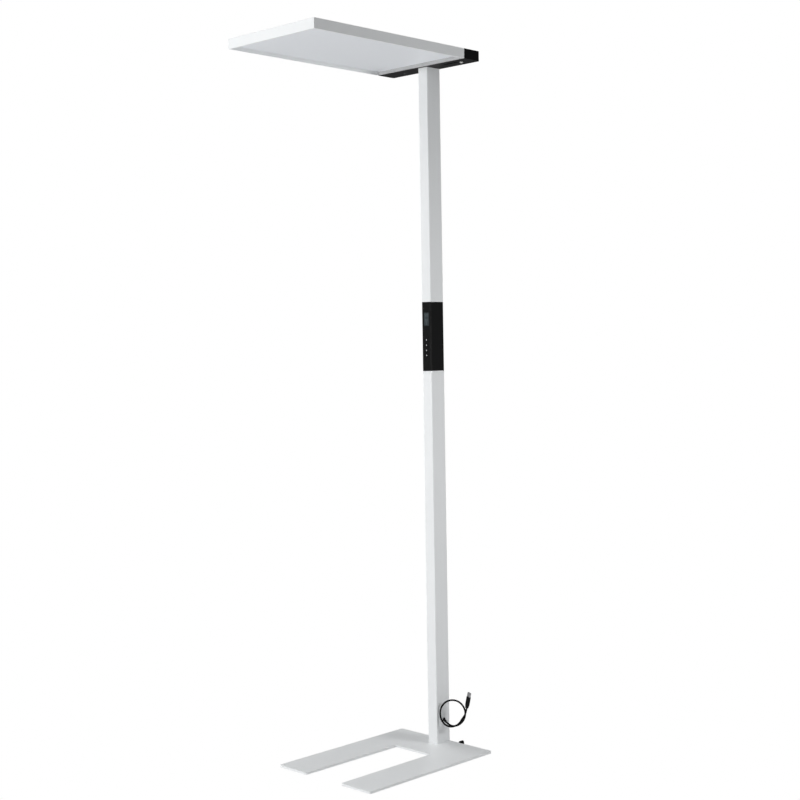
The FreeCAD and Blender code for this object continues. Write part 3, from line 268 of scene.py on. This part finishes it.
# ---------------------------------------------------------------- finishes of the CAD nodes
powder_coat().put_on("base_plate", "lower_pole", "upper_pole", "left_rail", "right_rail", "front_rail",
                     "top_panel")
# painted shade: the rear rim's white is darkened to a grey
moulded("white_moulding_painted_shade", (0.54, 0.545, 0.55), 0.5, specular=0.2).put_on("rear_rim")
black = moulded("black_moulding", (0.0042, 0.0044, 0.0048), 0.52, specular=0.1)
black.put_on("cap_housing", "control_housing", "mains_gland", "usb_gland", "usb_plug_body")
moulded("black_cover", (0.0055, 0.0058, 0.0062), 0.5, specular=0.16).put_on("cap_cover")
moulded("black_panel", (0.0042, 0.0044, 0.0046), 0.36, 0.00001, 0.12).put_on("control_panel")
opal_pane("opal_below", linear(233, 236, 240)).put_on("lower_diffuser")
opal_pane("opal_above", linear(228, 230, 233)).put_on("upper_diffuser")
zinc = metal("zinc_plate", (0.93, 0.94, 0.95), 0.42, (40, 40, 900))
zinc.put_on("unit_chassis", "port_screws", "head_bracket", "cross_beam", "beam_screws", "channel_cover")
mill = metal("mill_aluminium", (0.78, 0.79, 0.8), 0.38, (900, 30, 900))
mill.put_on("corner_keys", "rail_keys", "light_plate")
metal("plug_steel", (0.42, 0.42, 0.43), 0.32, (300, 300, 2500)).put_on("usb_plug_shell")
moulded("driver_case", (0.72, 0.72, 0.72), 0.4).put_on("led_driver")
moulded("plug_insulator", (0.75, 0.75, 0.74), 0.5).put_on("usb_plug_tongue")
moulded("switch_plastic", (0.02, 0.02, 0.02), 0.5).put_on("key_switches")
moulded("pad_rubber", (0.018, 0.018, 0.018), 0.75, 0.00006).put_on("base_pads")
jacket = moulded("lead_jacket", (0.0014, 0.0014, 0.0016), 0.45, 0.00002, 0.05)
jacket.put_on("mains_loom", "control_loom", "usb_inner_lead", "usb_cable")
moulded("white_lens", (0.72, 0.72, 0.7), 0.25, 0.000005, specular=0.5).put_on("motion_lens")
moulded("sensor_clear", (0.22, 0.23, 0.24), 0.18, 0.000005, specular=0.5).put_on("light_sensor_window")
moulded("sensor_dark", (0.001, 0.001, 0.0012), 0.25, 0.000005, specular=0.05).put_on("motion_window")
moulded("display_module", (0.06, 0.065, 0.07), 0.4).put_on("display_module")
circuit_board().put_on("control_board", "sensor_board")
light_strip().put_on("lower_light_strips", "upper_light_strips")
display_pane().put_on("display_window")
key_cap().put_on("key_1", "key_2", "key_3", "key_4")

# ---------------------------------------------------------------- short lead
pole_side, pole_axis_y, lead_height = 0.017, 0.277, 0.0735
lead_y = pole_axis_y + 0.0025
boot_length, boot_droop = 0.0095, math.radians(35.0)
lead_radius, lead_length, lead_straight = 0.0025, 0.327, 0.009
lead_round_steps, lead_round_sides = 12, 6
ring_centre = Vector((0.0517, pole_axis_y + 0.0009, 0.0966))
ring_half_width, ring_half_height = 0.0345, 0.0367
ring_heading = math.radians(35.0)
ring_along = Vector((math.cos(ring_heading), math.sin(ring_heading), 0))
ring_out = Vector((math.sin(ring_heading), -math.cos(ring_heading), 0))
# the loop's turn: angle in degrees, reach as a share of the half width and height, shift to the front
ring_turn = [(-90, 1.03, -0.0065), (0, 1.04, -0.0048), (90, 0.985, -0.0032), (180, 1.01, 0.0004),
             (245, 1.07, 0.0032), (290, 0.94, 0.0046), (335, 0.865, 0.0056)]
ring_step = 25.0
plug_foot_reach, plug_foot_rise, plug_foot_shift = 0.0414, 0.0173, 0.0062
plug_lean = math.radians(11.0)


def ring_place(reach, rise, shift):
    """Point at a reach along the loop's plane, a rise up it and a shift out of it."""
    return ring_centre + ring_along * reach + UP * rise + ring_out * shift


def ring_values(angle):
    """Reach and shift of the loop at an angle in degrees."""
    for (before, *low), (after, *high) in zip(ring_turn, ring_turn[1:]):
        if angle <= after:
            share = (angle - before) / (after - before)
            return [first + (second - first) * share for first, second in zip(low, high)]
    return ring_turn[-1][1:]


def ring_point(angle):
    """Control point of the loop: outside it by as much as the curve cuts inside its points."""
    outward = 1 / (0.75 + 0.25 * math.cos(math.radians(ring_step)))
    reach, shift = ring_values(angle)
    turn = math.radians(angle)
    return ring_place(ring_half_width * reach * outward * math.cos(turn),
                      ring_half_height * reach * outward * math.sin(turn), shift)


def lead_points():
    """Control points: straight out of the boot, round the loop's turns, and straight into the plug."""
    droop = Vector((math.cos(boot_droop), 0, -math.sin(boot_droop)))
    tip = Vector((pole_side, lead_y, lead_height)) + droop * boot_length
    points = [tip, tip + droop * 4 * lead_radius]
    angle, last = ring_turn[0][0], ring_turn[-1][0]
    while angle <= last:
        points.append(ring_point(angle))
        angle += ring_step
    lean = ring_along * math.sin(plug_lean) + UP * math.cos(plug_lean)
    foot = ring_place(plug_foot_reach, plug_foot_rise, plug_foot_shift)
    points += [foot - lean * 2 * lead_straight, foot]
    return points


def make_lead():
    """The lead as one smooth curve, with the plug's pieces on its end."""
    points = lead_points()
    data = bpy.data.curves.new("short_lead", "CURVE")
    data.dimensions = "3D"
    spline = data.splines.new("NURBS")
    spline.points.add(len(points) - 1)
    for spot, point in zip(spline.points, points):
        spot.co = (*point, 1.0)
    spline.order_u = 3
    spline.use_endpoint_u = True
    data.resolution_u = lead_round_steps
    data.bevel_depth = lead_radius
    data.bevel_resolution = lead_round_sides
    lead = add_object("short_lead", data)
    jacket.put_on(lead)
    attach(lead, "lamp")
    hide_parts("usb_cable")


make_lead()


# ---------------------------------------------------------------- display's readout
digit_strokes = {"0": "abcdef", "5": "acdfg"}
digits_shown = "500"
digit_width, digit_height, digit_step, stroke = 3.4 * MM, 6.2 * MM, 5.0 * MM, 0.75 * MM
ink_height = 0.05 * MM
digits_below_top = 11.5 * MM
bar_count, bar_height, bar_step = 6, 1.1 * MM, 2.9 * MM
first_bar_level, first_bar_half, bar_half_step = 4.5 * MM, 1.6 * MM, 0.7 * MM


def add_piece(name, work, finish):
    """A small piece, made from a bmesh, that rides on the lamp."""
    mesh = bpy.data.meshes.new(name)
    work.to_mesh(mesh)
    work.free()
    mesh.update()
    piece = add_object(name, mesh)
    finish.put_on(piece)
    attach(piece, "lamp")


def add_box(work, low, high):
    """Adds a closed box to a bmesh."""
    corners = bmesh.ops.create_cube(work, size=1.0)["verts"]
    bmesh.ops.scale(work, vec=high - low, verts=corners)
    bmesh.ops.translate(work, vec=(low + high) / 2, verts=corners)


def stroke_box(letter, left, foot):
    """Low and high corners, across and up, of one stroke of a seven-stroke digit."""
    right, top, middle = left + digit_width, foot + digit_height, foot + digit_height / 2
    half = stroke / 2
    levels = {"a": top, "g": middle, "d": foot}
    if letter in levels:
        return (left, levels[letter] - half), (right, levels[letter] + half)
    side = left if letter in "ef" else right
    low, high = (middle, top) if letter in "bf" else (foot, middle)
    return (side - half, low), (side + half, high)


def readout_boxes(centre, bottom, top):
    """Low and high corners, across and up, of each digit's strokes and of the level bars."""
    boxes = []
    for place, digit in enumerate(digits_shown):
        left = centre + (place - 1) * digit_step - digit_width / 2
        boxes += [stroke_box(letter, left, top - digits_below_top) for letter in digit_strokes[digit]]
    for rung in range(bar_count):
        half = first_bar_half + bar_half_step * rung
        level = bottom + first_bar_level + bar_step * rung
        boxes.append(((centre - half, level), (centre + half, level + bar_height)))
    return boxes


def make_readout():
    """Plain digits and a ladder of level bars on the display."""
    low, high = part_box("display_window")
    face = low[1]
    work = bmesh.new()
    for (left, foot), (right, top) in readout_boxes((low[0] + high[0]) / 2, low[2], high[2]):
        add_box(work, Vector((left, face - ink_height, foot)), Vector((right, face, top)))
    ink = Finish("display_ink", roughness=0.3, Specular_IOR_Level=0.3)
    ink.colour(ink.shaded(linear(84, 91, 93), ink.noise(900.0), 0.1))
    add_piece("display_readout", work, ink)


make_readout()


# ---------------------------------------------------------------- screws of the cap's cover
screw_sides = {"left": -0.156, "right": 0.156}
screw_ends = {"front": 0.2591, "rear": 0.2925}
screw_facets = 32
# pan head: radius and drop below its seat, from the seat to the flat of the face
screw_profile = [(3.0 * MM, 0.0), (3.0 * MM, 0.35 * MM), (2.75 * MM, 0.85 * MM), (2.3 * MM, 1.15 * MM),
                 (1.8 * MM, 1.25 * MM)]
recess_arm, recess_half_slot, recess_depth, recess_taper = 1.35 * MM, 0.3 * MM, 0.8 * MM, 0.7


def level_circle(work, radius, level):
    """A ring of points at one level."""
    turns = [math.tau * i / screw_facets for i in range(screw_facets)]
    return [work.verts.new((radius * math.cos(turn), radius * math.sin(turn), level)) for turn in turns]


def neighbours(loop):
    """Each point of a closed loop with the next one."""
    return zip(loop, loop[1:] + loop[:1])


def skin(work, first, second):
    """Faces from one closed loop of points to another."""
    for (start, end), (far_start, far_end) in zip(neighbours(first), neighbours(second)):
        work.faces.new((start, end, far_end, far_start))


def cross_outline(arm, slot):
    """Outline of a cross with four equal arms."""
    points, quarter = [], [(arm, slot), (slot, slot), (slot, arm)]
    for _ in range(4):
        points += quarter
        quarter = [(-y, x) for x, y in quarter]
    return points


def cross_screw(name, place, finish):
    """Pan head with a cross recess, seated against the underside of the cap's cover."""
    work = bmesh.new()
    circles = [level_circle(work, radius, -drop) for radius, drop in screw_profile]
    for first, second in zip(circles, circles[1:]):
        skin(work, first, second)
    work.faces.new(reversed(circles[0]))
    cross = cross_outline(recess_arm, recess_half_slot)
    face_level = -screw_profile[-1][1]
    mouth = [work.verts.new((x, y, face_level)) for x, y in cross]
    bed = [work.verts.new((x * recess_taper, y * recess_taper, recess_depth + face_level))
           for x, y in cross]
    skin(work, mouth, bed)
    work.faces.new(bed)
    edges = [work.edges.get(pair) for loop in (circles[-1], mouth) for pair in neighbours(loop)]
    bmesh.ops.triangle_fill(work, edges=edges, use_beauty=True)
    bmesh.ops.recalc_face_normals(work, faces=work.faces)
    bmesh.ops.translate(work, vec=place, verts=work.verts)
    add_piece(name, work, finish)


def make_cover_screws():
    low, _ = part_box("cap_cover")
    steel = moulded("black_steel", (0.01, 0.01, 0.011), 0.35, 0.00001, 0.3)
    for side, x in screw_sides.items():
        for end, y in screw_ends.items():
            cross_screw("cover_screw_%s_%s" % (side, end), Vector((x, y, low[2])), steel)


make_cover_screws()


# ---------------------------------------------------------------- floor, light and backdrop
floor_reach = 14.0
fill_tone = (0.98, 0.99, 1.0)
fill_strength = 0.158
# each softbox: its place, what it faces, its width and height, and its power in watts
softboxes = {
    "front_low_box": ((-0.4, -3.0, 0.5), (0, 0, 0.5), 2.0, 0.8, 15.0),
    "front_high_box": ((-0.5, -3.0, 2.4), (0, 0, 1.6), 2.0, 1.2, 14.0),
    "front_near_box": ((-0.3, -2.2, 1.15), (0, 0.25, 1.15), 1.4, 0.5, 21.0),
    "front_top_box": ((0.2, -2.6, 2.9), (0, -0.1, 0.4), 2.0, 1.0, 8.9),
    "left_box": ((-3.2, 0.0, 1.4), (0, 0.2, 1.2), 1.6, 1.6, 39.3),
    "side_box": ((1.7, 0.75, 1.0), (0, 0.3, 0.9), 0.45, 0.45, 12.6),
    "top_box": ((0.2, -0.6, 3.8), (0, -0.2, 0), 2.4, 2.4, 24.9),
}


def make_floor():
    """Floor that is plain white to the camera and pale grey to the light."""
    data = bpy.data.meshes.new("floor")
    corners = [(-floor_reach, -floor_reach, 0), (floor_reach, -floor_reach, 0),
               (floor_reach, floor_reach, 0), (-floor_reach, floor_reach, 0)]
    data.from_pydata(corners, [], [(0, 1, 2, 3)])
    floor = add_object("floor", data)
    finish = Finish("floor", roughness=0.9)
    finish.colour(finish.shaded((0.8, 0.8, 0.8), finish.noise(3.0), 0.02))
    white = finish.add("ShaderNodeEmission", {"Color": (1, 1, 1, 1), "Strength": 1.0})
    path = finish.add("ShaderNodeLightPath")
    mix = finish.add("ShaderNodeMixShader", {0: path.outputs["Is Camera Ray"],
                                             1: finish.shader.outputs[0], 2: white.outputs[0]})
    output = finish.tree.nodes["Material Output"]
    finish.tree.links.new(mix.outputs[0], output.inputs["Surface"])
    finish.put_on(floor)


def make_world():
    """A weak even fill, and white to the camera."""
    world = bpy.data.worlds.new("studio")
    world.use_nodes = True
    tree = world.node_tree
    fill = tree.nodes["Background"]
    fill.inputs["Color"].default_value = (*fill_tone, 1.0)
    fill.inputs["Strength"].default_value = fill_strength
    white = tree.nodes.new("ShaderNodeBackground")
    white.inputs["Color"].default_value = (1, 1, 1, 1)
    path = tree.nodes.new("ShaderNodeLightPath")
    mix = tree.nodes.new("ShaderNodeMixShader")
    tree.links.new(path.outputs["Is Camera Ray"], mix.inputs[0])
    tree.links.new(fill.outputs[0], mix.inputs[1])
    tree.links.new(white.outputs[0], mix.inputs[2])
    tree.links.new(mix.outputs[0], tree.nodes["World Output"].inputs["Surface"])
    bpy.context.scene.world = world


def make_softbox(name, place, target, width, height, power):
    """Rectangular light that the camera doesn't see."""
    data = bpy.data.lights.new(name, "AREA")
    data.shape = "RECTANGLE"
    data.size = width
    data.size_y = height
    data.energy = power
    light = add_object(name, data)
    light.location = place
    light.rotation_euler = (Vector(target) - Vector(place)).to_track_quat("-Z", "Y").to_euler()
    light.visible_camera = False


make_floor()
make_world()
for name, setting in softboxes.items():
    make_softbox(name, *setting)
